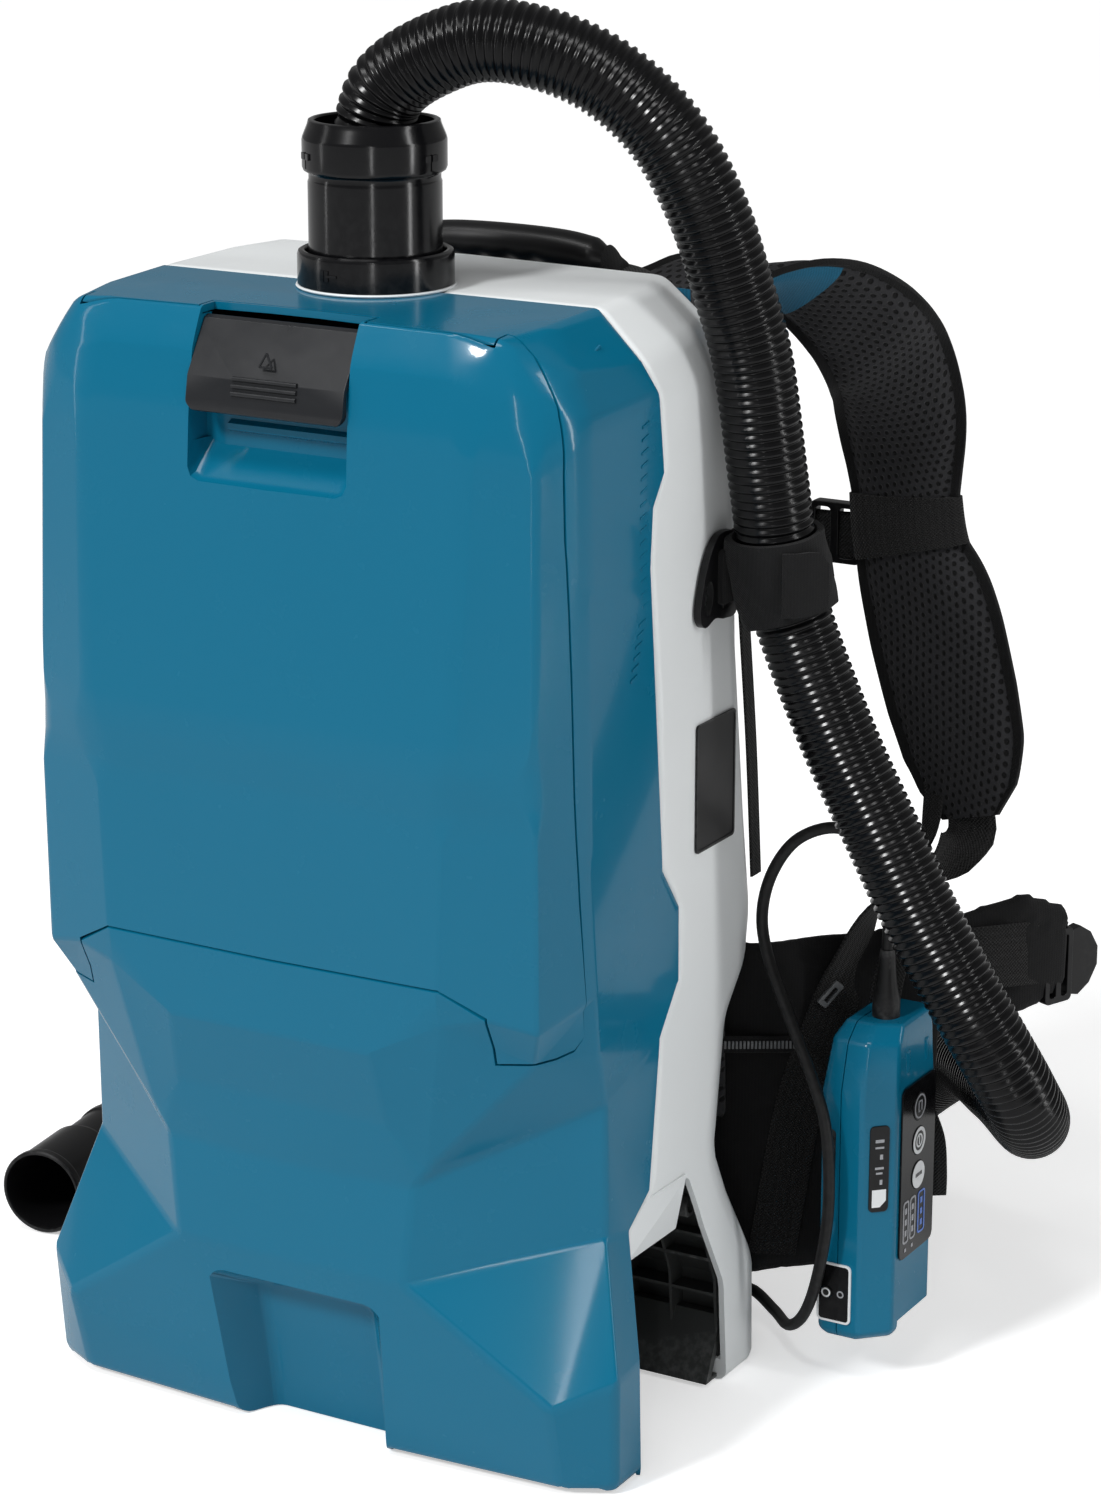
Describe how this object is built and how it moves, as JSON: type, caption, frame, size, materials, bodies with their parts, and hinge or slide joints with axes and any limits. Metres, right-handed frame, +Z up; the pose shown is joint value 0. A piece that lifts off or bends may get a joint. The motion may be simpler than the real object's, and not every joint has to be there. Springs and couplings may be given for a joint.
{
  "type": "backpack vacuum cleaner",
  "caption": "Cordless backpack vacuum cleaner with a hinged front door, top latch, swivel hose inlet, ribbed suction hose, padded harness and a belt control box.",
  "frame": {"origin": "on the floor, under the axis of the motor and fan, at the underside of the base frame", "axes": "+Z up, -Y towards the front door, +X towards the side with the hose, control cable and control box"},
  "size_m": [0.6124, 0.4634, 0.6969],
  "materials": {
    "teal_plastic": "satin moulded",
    "white_plastic": "satin moulded",
    "black_plastic": "fine grain",
    "dark_plastic": "fine grain",
    "grey_plastic": "satin",
    "panel": "semi-gloss film",
    "hose_plastic": "ribbed, slightly shiny",
    "rubber": "matt",
    "padding": "woven over foam",
    "webbing": "ribbed tape",
    "teal_fabric": "woven",
    "steel": "turned",
    "paper": "filter fleece",
    "filter_medium": "pleated paper",
    "board": "coated circuit board"
  },
  "bodies": {
    "unit": {"back_pad": "padding", "bag_holder": "grey_plastic", "band_hook": "black_plastic", "base_frame": "dark_plastic", "battery_dock_left": "black_plastic", "battery_dock_right": "black_plastic", "bay_insert_left": "dark_plastic", "bay_insert_right": "dark_plastic", "belt_buckle_left": "black_plastic", "belt_buckle_right": "black_plastic", "box_hanger": "webbing", "cable_gland_box": "rubber", "cable_gland_shell": "rubber", "chamber_tub": "dark_plastic", "control_box_back": "teal_plastic", "control_box_front": "teal_plastic", "control_cable": "rubber", "control_panel": "panel", "controller_board": "board", "door_gasket": "rubber", "door_hinge_pin": "steel", "dust_bag": "paper", "fan_shroud": "dark_plastic", "filter_frame": "grey_plastic", "front_housing": "teal_plastic", "handle_grip": "rubber", "handle_webbing": "webbing", "hose_band": "webbing", "hose_cuff": "black_plastic", "inlet_collar": "black_plastic", "inlet_seal": "rubber", "motor_bearing": "steel", "motor_can": "grey_plastic", "pairing_plate": "panel", "pleated_filter": "filter_medium", "rear_shell": "white_plastic", "shoulder_strap_left": "padding", "shoulder_strap_right": "padding", "side_plate": "black_plastic", "sternum_buckle_plug": "black_plastic", "sternum_buckle_socket": "black_plastic", "sternum_strap_left": "webbing", "sternum_strap_right": "webbing", "strap_webbing_left": "webbing", "strap_webbing_right": "webbing", "vacuum_hose": "hose_plastic", "waist_belt_left": "padding", "waist_belt_right": "padding", "yoke_panel": "teal_fabric"},
    "door": {"front_door": "teal_plastic", "latch_pin": "steel", "latch_spring": "steel"},
    "latch": {"latch_lever": "black_plastic"},
    "swivel": {"inlet_swivel": "black_plastic"},
    "rotor": {"rotor_shaft": "steel", "impeller": "grey_plastic"},
    "button_sync": {"panel_button_sync": "panel"},
    "button_power": {"panel_button_power": "panel"},
    "button_mode": {"panel_button_mode": "panel"},
    "button_pair": {"pairing_button": "grey_plastic"}
  },
  "joints": [
    {"name": "door_hinge", "type": "hinge", "parent": "unit", "child": "door", "pos_m": [0, -0.1, 0.232], "axis": [1, 0, 0], "range_deg": [0, 80]},
    {"name": "latch_pivot", "type": "hinge", "parent": "door", "child": "latch", "pos_m": [0, -0.0922, 0.5526], "axis": [-1, 0, 0], "range_deg": [0, 45], "stiffness_Nm_per_rad": 0.05},
    {"name": "swivel_turn", "type": "hinge", "parent": "unit", "child": "swivel", "pos_m": [0, -0.015, 0.6], "axis": [0, 0, 1], "continuous": true},
    {"name": "rotor_spin", "type": "hinge", "parent": "unit", "child": "rotor", "pos_m": [0, 0, 0.2397], "axis": [0, 0, 1], "continuous": true},
    {"name": "sync_press", "type": "slide", "parent": "unit", "child": "button_sync", "axis": [-1, 0, 0], "range_m": [0, 0.001], "stiffness_N_per_m": 600},
    {"name": "power_press", "type": "slide", "parent": "unit", "child": "button_power", "axis": [-1, 0, 0], "range_m": [0, 0.001], "stiffness_N_per_m": 600},
    {"name": "mode_press", "type": "slide", "parent": "unit", "child": "button_mode", "axis": [-1, 0, 0], "range_m": [0, 0.001], "stiffness_N_per_m": 600},
    {"name": "pair_press", "type": "slide", "parent": "unit", "child": "button_pair", "axis": [0, 1, 0], "range_m": [0, 0.0008], "stiffness_N_per_m": 500}
  ]
}
